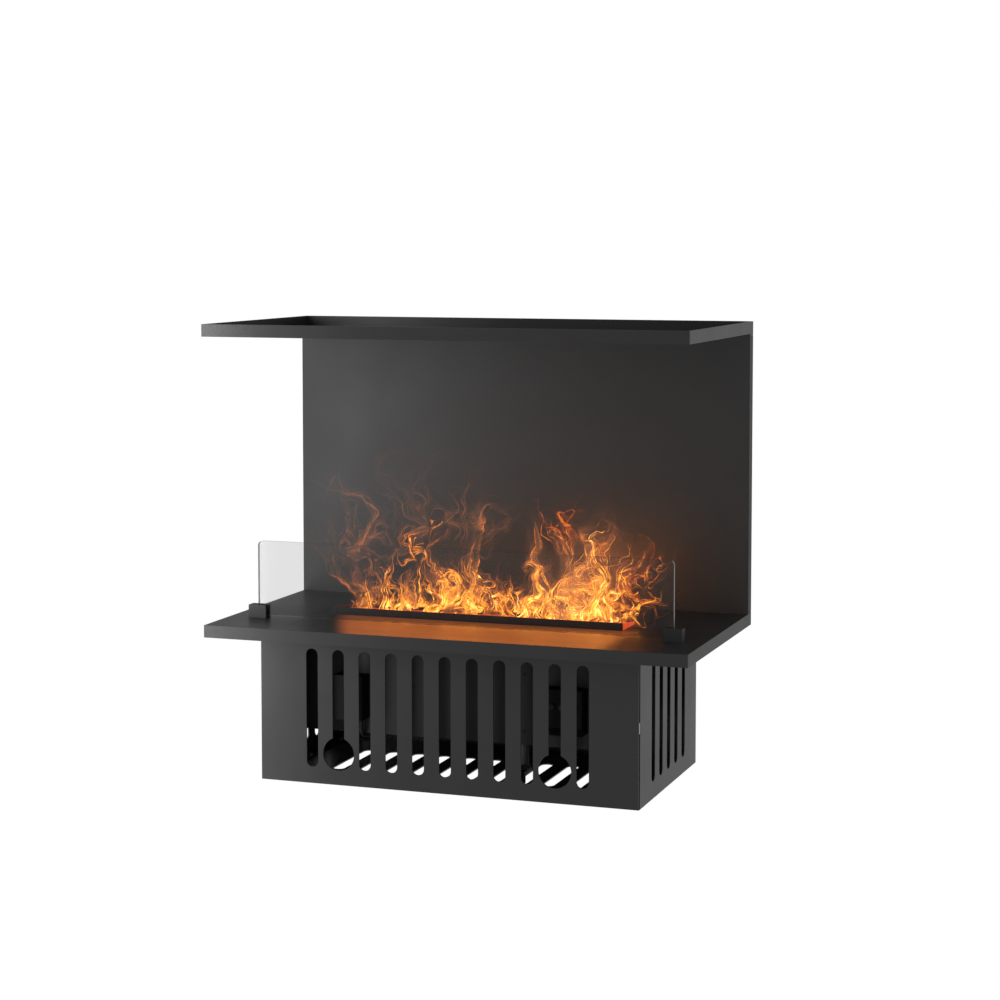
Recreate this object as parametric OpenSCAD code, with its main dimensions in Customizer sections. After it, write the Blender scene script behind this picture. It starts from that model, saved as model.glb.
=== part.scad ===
// Three-sided water-vapour electric fireplace insert.
// Origin: middle of the footprint, on the floor. +X right, +Y towards the wall, +Z up.

/* [Overall] */
// Width of the shelf and of the top tray
overall_w = 800; // [780:5:860]
// Depth of the shelf and of the top tray
overall_d = 412; // [404:2:430]
// Height from the floor to the upper edge of the top tray
overall_h = 734; // [700:2:800]
// Height of the shelf's top face above the floor
shelf_z = 251; // [249:1:262]
// Thickness of the folded steel sheet
sheet = 2; // [1.5:0.25:2]
// Height of the folded edge round the shelf and round the top tray
edge_h = 20; // [16:1:24]
// Depth of the folded edge round the back panel
back_d = 21; // [18:1:24]

/* [Base housing] */
// Width of the base housing
base_w = 631; // [625:1:640]
// Depth of the base housing
base_d = 346; // [344:1:350]
// Width of the inward folds of the side panels
fold_w = 18; // [14:1:18]
// Number of upright slots in the front panel and of slots in the floor plate
front_slots = 11; // [9:2:11]
// Number of upright slots in each side panel
side_slots = 5; // [3:2:5]
// Width of a slot
slot_w = 20; // [12:1:22]
// Distance from one slot to the next
slot_pitch = 45.2; // [42:0.2:46]
// Height of a slot's lower end above the floor
slot_low = 27; // [24:1:30]
// Height of an upright slot
slot_h = 191; // [160:1:195]
// Length of a slot in the floor plate
floor_slot_len = 150; // [120:2:190]
// Diameter of the two round hand holes
hand_hole_d = 53.5; // [40:0.5:56]
// Height of the hand holes' centres above the floor
hand_hole_z = 50.5; // [50:0.5:56]
// Depth of the gap between the front panel and each side panel
strip_d = 4.5; // [4:0.1:5]

/* [Glass screen] */
// Width of the glass pane
glass_w = 702; // [690:1:710]
// Height of the glass pane
glass_h = 122; // [100:1:150]
// Thickness of the glass pane
glass_t = 6; // [5:0.5:6]
// Radius of the pane's upper corners
glass_corner_r = 8; // [4:1:12]
// Distance from the shelf's front edge to the middle of the glass
glass_inset = 103.7; // [100:0.1:106]
// Width of a glass holder
holder_w = 30.5; // [28:0.5:32]
// Depth of a glass holder
holder_d = 18.5; // [18:0.5:20]
// Height of a glass holder
holder_h = 21; // [18:1:24]

/* [Burner] */
// Width of the burner's top plate
burner_w = 545; // [540:1:550]
// Depth of the burner's top plate
burner_d = 332; // [330:1:334]
// Length of the vapour slot
mouth_w = 498; // [490:1:500]
// Depth of the vapour slot, measured over its two lips
mouth_d = 72; // [70:1:76]
// Height of the front lip above the shelf
front_lip_h = 12; // [8:1:14]
// Height of the rear lip above the shelf
rear_lip_h = 4; // [3:1:5]
// Height of the burner casing's underside above the floor
casing_z = 73; // [70:1:76]
// Width of the burner casing
casing_w = 532; // [526:1:532]
// Depth of the burner casing
casing_d = 212; // [210:1:214]
// Number of mist discs in the water basin
disc_count = 6; // [4:1:6]
// Number of light-emitting diodes on each light bar
diode_count = 24; // [12:2:24]
// Travel of the float between its stops
float_travel = 20; // [10:1:22]

/* [Fans] */
// Side of a fan's square frame
fan_w = 60; // [56:1:60]
// Thickness of a fan's frame
fan_t = 25; // [20:1:25]
// Height of the fan axes above the floor
fan_z = 180; // [176:1:190]
// Number of blades on each rotor
blade_count = 7; // [5:1:9]

/* [Boxes and buttons] */
// Distance of the two electric boxes from the middle
box_x = 180.8; // [178:0.2:184]
// Height of the undersides of the two electric boxes above the floor
box_z = 98; // [96:1:100]
// Depth of the two electric boxes
box_d = 30; // [28:1:32]
// Height of the two electric boxes
box_h = 72; // [70:1:76]
// Width of the power supply box
supply_w = 50; // [46:1:54]
// Width of the control box
control_w = 64; // [60:1:66]
// Angle through which the rocker switch tips
rocker_angle = 16; // [12:1:18]

/* [Hidden] */

$fn = 48;
steel_black = "#3a3a3a";
steel_dark = "#2b2b2b";
zinc = "#b9bcbe";
plastic_black = "#1c1c1c";
plastic_grey = "#5a5d60";
circuit_green = "#1f5b38";

cut = 1;                       // how far a cutting tool passes beyond the face it cuts
fit_gap = 0.35;                // clearance between pieces that move past each other
seat_gap = 0.4;                // clearance round a piece that drops into a cut-out
shaft_gap = 0.05;              // radial running clearance of a shaft

front_y = -base_d / 2;
floor_y = front_y + sheet + fit_gap;
side_y = front_y + sheet + strip_d;
rear_y = base_d / 2;
under_shelf = shelf_z - sheet;
tray_z = overall_h - edge_h;
panel_gap = 0.5;
corner_gap = 0.6;
strip_w = 10;
strip_inset = 1.2;             // how far the corner strips sit back from the housing's sides
notch_z = 117.8;               // lower end of the notch in each corner strip
notch_h = 16.8;
floor_hole_dx = 285;
floor_hole_dy = 140;
floor_hole_r = 4;
floor_screw_row = 260;         // length of each row of screws along the base housing's sides
shelf_stud_row = 280;
rear_screw_z = 45;             // height of the lowest screws of the rear panel
rear_screw_pitch = 80;

screw_r = 2;
screw_hole_r = 2.15;
head_r = 3.6;
head_h = 2.2;
nut_r = 4;
nut_h = 3.2;
stud_l = 9;
stud_hole_r = 2.3;

glass_y = -overall_d / 2 + glass_inset;
glass_z = shelf_z + 4;
pad_t = 1;
groove_w = glass_t + 2 * pad_t;
groove_z = glass_z - pad_t;
holder_x = glass_w / 2 - 0.5;
holder_screw_dx = 9;
holder_tap = 2.5;              // depth of the screw hole under the groove, where the block is thin
holder_deep_tap = 12;          // depth of the screw hole beside the groove
back_screw_margin = 50;        // from the ends of the back panel to its first screws
back_screw_inset = 9;          // from the rear edge to the back panel's screws
back_screw_count = 5;

lip_t = 2;
mouth_in = mouth_d / 2 - lip_t;
end_t = 2;
casing_t = 1.5;
casing_flange = 12;
casing_screw_r = 1.5;
casing_screw_places = [[107, 94.5], [107, 185], [79.5, 153]];
basin_w = 500;
basin_d = 204;
basin_h = 60;
basin_t = 3;
basin_z = casing_z + casing_t;
disc_pitch = 75;
disc_h = 14;
disc_r = 11.9;
disc_housing_r = 20;
disc_seat = 2;                 // depth of the seat that holds each disc
mist_slots = 29;
mist_slot_pitch = 16;
channel_t = 1.5;
channel_z = shelf_z - 17;
bar_w = 8;
bar_t = 1.6;
diode_w = 5;
diode_h = 1.4;
diode_pitch = 20;
lens_h = 4.5;
float_x = 222;
float_y = -80;
float_r = 9;
float_h = 12;
float_z = basin_z + basin_t + 3;
stem_r = 3;

fan_x = casing_w / 2 - casing_t - fan_t;
fan_bore_r = fan_w / 2 - 1.5;
blade_tip_r = fan_bore_r - 1.2;
hub_r = 11;
motor_r = 12;
shaft_r = 1.5;

drain_x = 106;
drain_y = -94;
drain_z = 32;
drain_body_r = 9;
drain_bore_r = 4.5;
drain_front = -122;
outlet_y = drain_front + 16;
outlet_r = 5;
knob_r = 11;
knob_h = 11;
spindle_r = 2.5;

casing_y = -casing_d / 2;
box_y = casing_y - box_d;
shell_t = 2;
split_y = casing_y - 12;
button_r = 5;
button_dx = 17;
button_z = box_z + 45;
lamp_z = box_z + 24;
window_z = box_z + 1.8;
window_h = 10.4;
window_t = 0.6;
rocker_z = box_z + 22;
rocker_pivot_y = box_y + 4;
rocker_w = 10;
rocker_h = 15;
rocker_pin_r = 1;

inlet_x = -box_x;
inlet_z = 60;
inlet_screw_dx = 20;
inlet_cut = [27.4, 20];        // width and height of the inlet's opening in the rear panel
inlet_body = [27, 19.6];
inlet_flange = [50, 3, 24];
inlet_depth = 20;
inlet_recess = 13;
lead_r = 3;
lead_sides = 8;
lead_ref = [0.3, 0.5, 1];      // never parallel to a stretch of a lead
mains_route = [[-180, 153, 60], [-180, 140, 60], [-174, 128, 58], [-168, 112, 60], [-166, 98, 65],
    [-166, 88, 67], [-166, -88, 67], [-166, -100, 67.5], [-166, -107, 69], [-166, -111, 74], [-166, -112, 82],
    [-166, -112, 99.5]];
control_route = [[-190, -112, 99.5], [-190, -112, 82], [-190, -111, 74], [-190, -107, 69], [-189, -98, 64],
    [-188, -88, 60], [-182, -79, 57], [-174, -76, 56], [-152, -76, 56], [-140, -76, 59], [-128, -76, 65],
    [-116, -76, 67], [170, -76, 67], [181, -78, 67], [188, -86, 67.5], [190, -98, 67.5], [190, -107, 69],
    [190, -111, 74], [190, -112, 82], [190, -112, 99.5]];

function slot_x(i) = (i - (front_slots - 1) / 2) * slot_pitch;
function side_slot_y(i) = (i - (side_slots - 1) / 2) * slot_pitch;
function spread(i, n, length) = n == 1 ? 0 : (i / (n - 1) - 0.5) * length;

// Block centred on x and y with its lower face at z0
module block(w, d, z0, h) {
    translate([-w / 2, -d / 2, z0]) cube([w, d, h]);
}

// Upright slot outline with round ends, its lower end at the origin
module slot_outline(w, h) {
    translate([0, w / 2]) circle(d = w);
    translate([0, h - w / 2]) circle(d = w);
    translate([-w / 2, w / 2]) square([w, h - w]);
}

// Outline in x and z, extruded from y0 towards the wall
module upright(y0, depth) {
    translate([0, y0 + depth, 0]) rotate([90, 0, 0]) linear_extrude(height = depth) children();
}

// Outline in y and z, extruded from x0 to the right
module crosswise(x0, length) {
    translate([x0, 0, 0]) rotate([90, 0, 90]) linear_extrude(height = length) children();
}

// Cylinder along y, starting at y0
module rod_y(x, y0, z, r, l) {
    translate([x, y0, z]) rotate([-90, 0, 0]) cylinder(r = r, h = l);
}

// Cylinder along x, starting at x0
module rod_x(x0, y, z, r, l) {
    translate([x0, y, z]) rotate([0, 90, 0]) cylinder(r = r, h = l);
}

// Screw pointing down, the seat of its head at the origin
module screw(l) {
    cylinder(r = head_r, h = head_h);
    translate([0, 0, -l]) cylinder(r = screw_r, h = l + cut / 2);
}

// Hexagon nut on a stud that points down, its upper face at the origin
module stud_nut() {
    difference() {
        translate([0, 0, -nut_h]) cylinder(r = nut_r, h = nut_h, $fn = 6);
        translate([0, 0, -nut_h - cut]) cylinder(r = screw_r + shaft_gap, h = nut_h + 2 * cut);
    }
}

// Tray folded from one sheet, open at the top, with an open seam at each corner
module folded_tray(w, d, h) {
    difference() {
        block(w, d, 0, h);
        block(w - 2 * sheet, d - 2 * sheet, sheet, h);
        for (sx = [-1, 1], sy = [-1, 1])
            translate([sx * (w / 2 - sheet / 2), sy * (d / 2 - sheet - corner_gap / 2), sheet])
                translate([-sheet / 2 - cut, -corner_gap / 2, 0])
                    cube([sheet + 2 * cut, corner_gap, h]);
    }
}

// ---- Base housing ----

module floor_hole_places() {
    for (sx = [-1, 1], sy = [-1, 1]) translate([sx * floor_hole_dx, sy * floor_hole_dy, 0]) children();
}

module floor_screw_places() {
    for (sx = [-1, 1], i = [0:2])
        translate([sx * (base_w / 2 - fold_w / 2), spread(i, 3, floor_screw_row), 0]) children();
}

module floor_plate() {
    color(steel_black) difference() {
        translate([-base_w / 2, floor_y, 0]) cube([base_w, rear_y - floor_y, sheet]);
        for (i = [0:front_slots - 1])
            translate([slot_x(i), -floor_slot_len / 2, -cut])
                linear_extrude(height = sheet + 2 * cut) slot_outline(slot_w, floor_slot_len);
        floor_hole_places() translate([0, 0, -cut]) cylinder(r = floor_hole_r, h = sheet + 2 * cut);
        floor_screw_places() translate([0, 0, -cut]) cylinder(r = screw_hole_r, h = sheet + 2 * cut);
    }
}

module shelf_stud_places() {
    for (sx = [-1, 1], i = [0:2])
        translate([sx * (base_w / 2 - fold_w / 2), spread(i, 3, shelf_stud_row), 0]) children();
}

module rear_screw_places() {
    for (sx = [-1, 1], i = [0:2])
        translate([sx * (base_w / 2 - fold_w / 2), rear_y, rear_screw_z + i * rear_screw_pitch]) children();
}

module side_panel() {
    side_d = rear_y - sheet - side_y;
    side_h = under_shelf - sheet;
    color(steel_black) difference() {
        translate([base_w / 2 - fold_w, side_y, sheet]) cube([fold_w, side_d, side_h]);
        translate([base_w / 2 - fold_w - cut, side_y + sheet, 2 * sheet])
            cube([fold_w - sheet + cut, side_d - 2 * sheet, side_h - 2 * sheet]);
        for (i = [0:side_slots - 1])
            translate([0, side_slot_y(i), slot_low])
                crosswise(base_w / 2 - sheet - cut, sheet + 2 * cut) slot_outline(slot_w, slot_h);
        floor_screw_places() cylinder(r = screw_hole_r, h = 3 * sheet);
        shelf_stud_places() translate([0, 0, under_shelf - 2 * sheet])
            cylinder(r = stud_hole_r, h = 3 * sheet);
        rear_screw_places() rotate([90, 0, 0]) cylinder(r = screw_hole_r, h = 3 * sheet);
    }
}

module side_panel_right() { side_panel(); }

module side_panel_left() { mirror([1, 0, 0]) side_panel(); }

module rear_panel() {
    color(steel_black) difference() {
        translate([-base_w / 2, rear_y - sheet, sheet]) cube([base_w, sheet, under_shelf - sheet]);
        rear_screw_places() translate([0, cut, 0]) rotate([90, 0, 0])
            cylinder(r = screw_hole_r, h = 3 * sheet);
        translate([inlet_x - inlet_cut[0] / 2, rear_y - sheet - cut, inlet_z - inlet_cut[1] / 2])
            cube([inlet_cut[0], sheet + 2 * cut, inlet_cut[1]]);
        for (s = [-1, 1])
            rod_y(inlet_x + s * inlet_screw_dx, rear_y - sheet - cut, inlet_z,
                screw_hole_r, sheet + 2 * cut);
    }
}

module front_panel() {
    color(steel_black) difference() {
        translate([panel_gap - base_w / 2, front_y, panel_gap])
            cube([base_w - 2 * panel_gap, sheet, under_shelf - 2 * panel_gap]);
        upright(front_y - cut, sheet + 2 * cut)
            for (i = [0:front_slots - 1]) translate([slot_x(i), slot_low]) slot_outline(slot_w, slot_h);
        for (s = [-1, 1])
            rod_y(s * box_x, front_y - cut, hand_hole_z, hand_hole_d / 2, sheet + 2 * cut);
    }
}

// Soft strips in the gap between the front panel and the side panels, above and below the catches
module corner_strips() {
    gap_d = side_y - floor_y;
    color(plastic_black) for (m = [0, 1]) mirror([m, 0, 0])
        translate([base_w / 2 - strip_inset - strip_w, floor_y, 0]) {
            translate([0, 0, sheet]) cube([strip_w, gap_d, notch_z - sheet]);
            translate([0, 0, notch_z + notch_h]) cube([strip_w, gap_d, under_shelf - notch_z - notch_h]);
        }
}

module magnet_catches() {
    catch_inset = 0.2;
    color(zinc) for (m = [0, 1]) mirror([m, 0, 0])
        translate([base_w / 2 - strip_inset - strip_w, floor_y, notch_z])
            cube([strip_w + strip_inset - catch_inset, side_y - floor_y, notch_h]);
}

module housing_screws() {
    color(zinc) {
        rear_screw_places() rotate([-90, 0, 0]) screw(2 * sheet + 4);
        floor_screw_places() translate([0, 0, 2 * sheet]) screw(2 * sheet - 0.5);
        for (s = [-1, 1])
            translate([inlet_x + s * inlet_screw_dx, rear_y + inlet_flange[1], inlet_z])
                rotate([-90, 0, 0]) screw(9);
    }
}

// ---- Shelf, back panel and top tray ----

module back_screw_places() {
    for (i = [0:back_screw_count - 1])
        translate([spread(i, back_screw_count, overall_w - 2 * back_screw_margin),
            overall_d / 2 - back_screw_inset, 0]) children();
}

module holder_screw_places() {
    for (sx = [-1, 1], i = [-1, 1])
        translate([sx * (holder_x + i * holder_screw_dx), glass_y, 0]) children();
}

module shelf_plate() {
    color(steel_black) {
        difference() {
            translate([0, 0, shelf_z]) mirror([0, 0, 1]) folded_tray(overall_w, overall_d, edge_h);
            block(burner_w + 2 * seat_gap, burner_d + 2 * seat_gap, under_shelf - cut, sheet + 2 * cut);
            back_screw_places() translate([0, 0, under_shelf - cut])
                cylinder(r = screw_hole_r, h = sheet + 2 * cut);
            holder_screw_places() translate([0, 0, under_shelf - cut])
                cylinder(r = screw_hole_r, h = sheet + 2 * cut);
        }
        shelf_stud_places() translate([0, 0, under_shelf - stud_l]) cylinder(r = screw_r, h = stud_l + cut);
    }
}

module shelf_nuts() {
    color(zinc) shelf_stud_places() translate([0, 0, under_shelf - sheet]) stud_nut();
}

module back_panel() {
    panel_y = overall_d / 2 - back_d;
    panel_h = tray_z - shelf_z;
    color(steel_dark) difference() {
        translate([-overall_w / 2, panel_y, shelf_z]) cube([overall_w, back_d, panel_h]);
        translate([-overall_w / 2 + sheet, panel_y + sheet, shelf_z + sheet])
            cube([overall_w - 2 * sheet, back_d, panel_h - 2 * sheet]);
        for (sx = [-1, 1], z = [shelf_z + sheet, tray_z - sheet - corner_gap])
            translate([sx * (overall_w / 2 - sheet / 2) - sheet / 2 - cut, panel_y + sheet, z])
                cube([sheet + 2 * cut, back_d, corner_gap]);
        back_screw_places() {
            translate([0, 0, shelf_z - cut]) cylinder(r = screw_hole_r, h = sheet + 2 * cut);
            translate([0, 0, tray_z - sheet - cut]) cylinder(r = screw_hole_r, h = sheet + 2 * cut);
        }
    }
}

module back_panel_screws() {
    color(steel_dark) back_screw_places() {
        for (z = [tray_z - sheet, under_shelf]) translate([0, 0, z]) mirror([0, 0, 1]) screw(2 * sheet - 1);
    }
}

module top_tray() {
    color(steel_black) difference() {
        translate([0, 0, tray_z]) folded_tray(overall_w, overall_d, edge_h);
        back_screw_places() translate([0, 0, tray_z - cut]) cylinder(r = screw_hole_r, h = sheet + 2 * cut);
    }
}

// ---- Glass screen ----

module glass_pane() {
    r = glass_corner_r;
    color("#cfe6e4", 0.35) upright(glass_y - glass_t / 2, glass_t) {
        translate([-glass_w / 2, glass_z]) square([glass_w, glass_h - r]);
        translate([-glass_w / 2 + r, glass_z]) square([glass_w - 2 * r, glass_h]);
        for (s = [-1, 1]) translate([s * (glass_w / 2 - r), glass_z + glass_h - r]) circle(r = r);
    }
}

// Block with a groove that is open at the top and towards the middle of the pane
module glass_holder() {
    groove_l = holder_w / 2 + 3;
    color("#333635") difference() {
        translate([holder_x - holder_w / 2, glass_y - holder_d / 2, shelf_z])
            cube([holder_w, holder_d, holder_h]);
        translate([holder_x - holder_w / 2 - cut, glass_y - groove_w / 2, groove_z])
            cube([groove_l + cut, groove_w, holder_h]);
        for (i = [-1, 1]) translate([holder_x + i * holder_screw_dx, glass_y, shelf_z - cut])
            cylinder(r = screw_hole_r, h = cut + (i < 0 ? holder_tap : holder_deep_tap));
    }
}

module glass_holder_right() { glass_holder(); }

module glass_holder_left() { mirror([1, 0, 0]) glass_holder(); }

// Soft U-shaped lining between each holder and the pane
module holder_pads() {
    lining_w = holder_w / 2 + 2.5;
    lining_h = holder_h - 4;
    inner_end = holder_x - holder_w / 2;
    color(plastic_black) for (m = [0, 1]) mirror([m, 0, 0]) difference() {
        translate([inner_end, glass_y - groove_w / 2, groove_z]) cube([lining_w, groove_w, lining_h]);
        translate([inner_end - cut, glass_y - glass_t / 2 - fit_gap, glass_z - fit_gap])
            cube([glass_w / 2 + fit_gap - inner_end + cut, glass_t + 2 * fit_gap, holder_h]);
    }
}

module holder_screws() {
    color(zinc) for (sx = [-1, 1], i = [-1, 1])
        translate([sx * (holder_x + i * holder_screw_dx), glass_y, under_shelf])
            mirror([0, 0, 1]) screw(sheet + (i < 0 ? holder_tap - 0.5 : holder_deep_tap - 3));
}

// ---- Burner ----

module burner_support_frame() {
    frame_w = burner_w + 40;
    frame_d = base_d - 8;
    ledge = 6;
    color(steel_black) difference() {
        block(frame_w, frame_d, under_shelf - sheet, sheet);
        block(casing_w + 1, burner_d - 2 * ledge, under_shelf - sheet - cut, sheet + 2 * cut);
    }
}

module burner_stud_places() {
    for (sy = [-1, 1], i = [0:3])
        translate([spread(i, 4, casing_w - 80), sy * (casing_d / 2 + casing_flange / 2), 0]) children();
}

module burner_top_plate() {
    color(steel_black) {
        difference() {
            block(burner_w, burner_d, under_shelf, sheet);
            block(mouth_w, 2 * mouth_in, under_shelf - cut, sheet + 2 * cut);
        }
        translate([-mouth_w / 2, -mouth_d / 2, under_shelf]) cube([mouth_w, lip_t, sheet + front_lip_h]);
        translate([-mouth_w / 2, mouth_in, under_shelf]) cube([mouth_w, lip_t, sheet + rear_lip_h]);
        burner_stud_places() translate([0, 0, under_shelf - stud_l])
            cylinder(r = screw_r, h = stud_l + cut);
    }
}

module burner_nuts() {
    color(zinc) burner_stud_places() translate([0, 0, under_shelf - casing_t]) stud_nut();
}

module burner_casing() {
    casing_h = under_shelf - casing_z;
    color(steel_dark) difference() {
        union() {
            block(casing_w, casing_d, casing_z, casing_h);
            block(casing_w, casing_d + 2 * casing_flange, under_shelf - casing_t, casing_t);
        }
        block(casing_w - 2 * casing_t, casing_d - 2 * casing_t, casing_z + casing_t, casing_h);
        rod_x(-casing_w / 2 - cut, 0, fan_z, fan_bore_r, casing_w + 2 * cut);
        burner_stud_places() translate([0, 0, under_shelf - casing_t - cut])
            cylinder(r = stud_hole_r, h = casing_t + 2 * cut);
        translate([drain_x, drain_y, casing_z - cut])
            cylinder(r = drain_bore_r + 0.5, h = casing_t + 2 * cut);
        for (s = [-1, 1], p = casing_screw_places)
            rod_y(s * p[0], casing_y - cut, p[1], casing_screw_r + 0.1, casing_t + 2 * cut);
    }
}

// Small screws that hold the basin's carriers behind the casing's front
module casing_screws() {
    small_head_r = 2.6;
    small_head_h = 1.6;
    color(steel_dark) for (s = [-1, 1], p = casing_screw_places) {
        rod_y(s * p[0], casing_y - small_head_h, p[1], small_head_r, small_head_h);
        rod_y(s * p[0], casing_y - 0.5, p[1], casing_screw_r, 3.9);
    }
}

module water_basin() {
    color(plastic_grey) difference() {
        block(basin_w, basin_d, basin_z, basin_h);
        block(basin_w - 2 * basin_t, basin_d - 2 * basin_t, basin_z + basin_t, basin_h);
        translate([drain_x, drain_y, basin_z - cut]) cylinder(r = drain_bore_r, h = basin_t + 2 * cut);
    }
}

module disc_places() {
    for (i = [0:disc_count - 1])
        translate([(i - (disc_count - 1) / 2) * disc_pitch, 0, basin_z + basin_t]) children();
}

module disc_housings() {
    color(plastic_black) disc_places() difference() {
        cylinder(r = disc_housing_r, h = disc_h);
        translate([0, 0, disc_h - disc_seat]) cylinder(r = disc_r + 0.1, h = disc_seat + cut);
    }
}

module mist_discs() {
    color("#b98f4a") disc_places() translate([0, 0, disc_h - disc_seat]) cylinder(r = disc_r, h = 1);
}

// Channel under the vapour slot, with cross slots that let the mist rise between the light bars
module mouth_channel() {
    channel_w = mouth_w - 2 * end_t - 1;
    color(steel_dark) difference() {
        block(channel_w, 2 * mouth_in, channel_z, shelf_z - channel_z);
        block(channel_w + 2 * cut, 2 * (mouth_in - channel_t), channel_z + channel_t, shelf_z);
        for (i = [0:mist_slots - 1])
            translate([(i - (mist_slots - 1) / 2) * mist_slot_pitch, 0, 0])
                block(mist_slot_pitch / 2, 40, channel_z - cut, channel_t + 2 * cut);
    }
}

// Circuit strip with its row of diodes; side is -1 for the front bar and 1 for the rear bar
module light_bar(side) {
    bar_y = side * (mouth_in - channel_t - bar_w / 2);
    bar_z = channel_z + channel_t;
    color("#e8e6dc") {
        translate([0, bar_y, 0]) block(mouth_w - 18, bar_w, bar_z, bar_t);
        for (i = [0:diode_count - 1])
            translate([(i - (diode_count - 1) / 2) * diode_pitch, bar_y, 0])
                block(diode_w, diode_w, bar_z + bar_t - 0.1, diode_h + 0.1);
    }
}

module light_bar_front() { light_bar(-1); }

module light_bar_rear() { light_bar(1); }

// Clear cover over a light bar, domed on top and hollow over the diodes
module light_lens(side) {
    bar_y = side * (mouth_in - channel_t - bar_w / 2);
    lens_z = channel_z + channel_t + bar_t;
    color("#ff8a2a", 0.6) crosswise(-mouth_w / 2 + 9, mouth_w - 18) difference() {
        union() {
            translate([bar_y - bar_w / 2, lens_z]) square([bar_w, lens_h - bar_w / 4]);
            translate([bar_y, lens_z + lens_h - bar_w / 4 - 1.5]) intersection() {
                circle(r = bar_w / 2);
                translate([-bar_w / 2, 0]) square([bar_w, bar_w / 2]);
            }
        }
        translate([bar_y - 3, lens_z - cut]) square([6, cut + diode_h + 0.3]);
    }
}

module light_lens_front() { light_lens(-1); }

module light_lens_rear() { light_lens(1); }

// Lit end piece of the vapour slot, as high as the front lip in front and as the rear lip behind
module mouth_end() {
    color("#e8562f", 0.8) crosswise(mouth_w / 2 - end_t, end_t)
        polygon([[-mouth_in, channel_z], [mouth_in, channel_z],
            [mouth_in, shelf_z + rear_lip_h], [-mouth_in, shelf_z + front_lip_h]]);
}

module mouth_end_right() { mouth_end(); }

module mouth_end_left() { mirror([1, 0, 0]) mouth_end(); }

module float_stem() {
    stem_h = 3 + float_h + float_travel + 3;
    color(plastic_black) translate([float_x, float_y, basin_z + basin_t]) {
        cylinder(r = 6, h = 2.5);
        cylinder(r = stem_r, h = stem_h + 3);
        translate([0, 0, stem_h]) cylinder(r = 5, h = 3);
    }
}

module float_ring() {
    color("#d8d8d2") translate([float_x, float_y, float_z]) difference() {
        cylinder(r = float_r, h = float_h);
        translate([0, 0, -cut]) cylinder(r = stem_r + 2 * shaft_gap, h = float_h + 2 * cut);
    }
}

// ---- Fans ----

// Fan frame with its motor seat at the inner end; the axis is the x axis
module fan_frame() {
    strut_t = 3;
    color(plastic_black) translate([fan_x, 0, fan_z]) {
        difference() {
            translate([0, -fan_w / 2, -fan_w / 2]) cube([fan_t, fan_w, fan_w]);
            rod_x(-cut, 0, 0, fan_bore_r, fan_t + 2 * cut);
            for (sy = [-1, 1], sz = [-1, 1])
                rod_x(-cut, sy * (fan_w / 2 - 5), sz * (fan_w / 2 - 5), 2.1, fan_t + 2 * cut);
        }
        difference() {
            union() {
                rod_x(0, 0, 0, motor_r, 6);
                for (a = [45:90:315]) rotate([a, 0, 0])
                    translate([0, -1.5, motor_r - 1]) cube([strut_t, 3, fan_bore_r - motor_r + 2]);
            }
            rod_x(2, 0, 0, shaft_r + shaft_gap, 6);
        }
    }
}

module fan_rotor() {
    rotor_x = 7;
    rotor_t = fan_t - rotor_x - 2;
    color("#26282a") translate([fan_x, 0, fan_z]) {
        rod_x(2.5, 0, 0, shaft_r, rotor_x - 2);
        rod_x(rotor_x, 0, 0, hub_r, rotor_t);
        for (i = [0:blade_count - 1]) rotate([i * 360 / blade_count, 0, 0]) intersection() {
            translate([rotor_x + rotor_t / 2, 0, hub_r - 1]) rotate([0, 0, 38])
                translate([-11, -0.8, 0]) cube([22, 1.6, blade_tip_r]);
            difference() {
                rod_x(rotor_x + 1, 0, 0, blade_tip_r, rotor_t - 2);
                rod_x(rotor_x, 0, 0, hub_r - 1, rotor_t);
            }
        }
    }
}

module fan_frame_right() { fan_frame(); }

module fan_frame_left() { mirror([1, 0, 0]) fan_frame(); }

module fan_rotor_right() { fan_rotor(); }

module fan_rotor_left() { mirror([1, 0, 0]) fan_rotor(); }

// ---- Drain ----

module drain_valve() {
    body_l = drain_y + 8 - drain_front;
    pipe_z = drain_z + 4;
    color(plastic_grey) difference() {
        union() {
            rod_y(drain_x, drain_front, drain_z, drain_body_r, body_l);
            translate([drain_x, drain_y, pipe_z]) cylinder(r = 7, h = casing_z - pipe_z);
            translate([drain_x, outlet_y, drain_z - 20]) cylinder(r = outlet_r, h = 16);
        }
        translate([drain_x, drain_y, drain_z]) cylinder(r = drain_bore_r, h = casing_z);
        translate([drain_x, outlet_y, drain_z - 20 - cut]) cylinder(r = outlet_r - 1.5, h = 20 + cut);
        rod_y(drain_x, drain_front - cut, drain_z, spindle_r + shaft_gap, 9 + cut);
    }
}

module drain_knob() {
    color("#2c2d2f") difference() {
        union() {
            rod_y(drain_x, drain_front - fit_gap - knob_h, drain_z, knob_r, knob_h - 2);
            rod_y(drain_x, drain_front - fit_gap - 2, drain_z, 7, 2);
            rod_y(drain_x, drain_front - fit_gap - cut, drain_z, spindle_r, 9);
        }
        for (a = [0:36:324]) translate([drain_x, 0, drain_z]) rotate([0, a, 0])
            rod_y(knob_r + 1, drain_front - fit_gap - knob_h - cut, 0, 2.4, knob_h - 1);
    }
}

// ---- Electric boxes ----

// Half shell of an electric box, between y0 and y1, open towards the split
module box_shell(x, w, y0, y1, open_rear) {
    difference() {
        translate([x - w / 2, y0, box_z]) cube([w, y1 - y0, box_h]);
        translate([x - w / 2 + shell_t, open_rear ? y0 + shell_t : y0 - cut, box_z + shell_t])
            cube([w - 2 * shell_t, y1 - y0 - shell_t + cut, box_h - 2 * shell_t]);
    }
}

module supply_case() {
    color(plastic_black) box_shell(-box_x, supply_w, split_y, casing_y, false);
}

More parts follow.
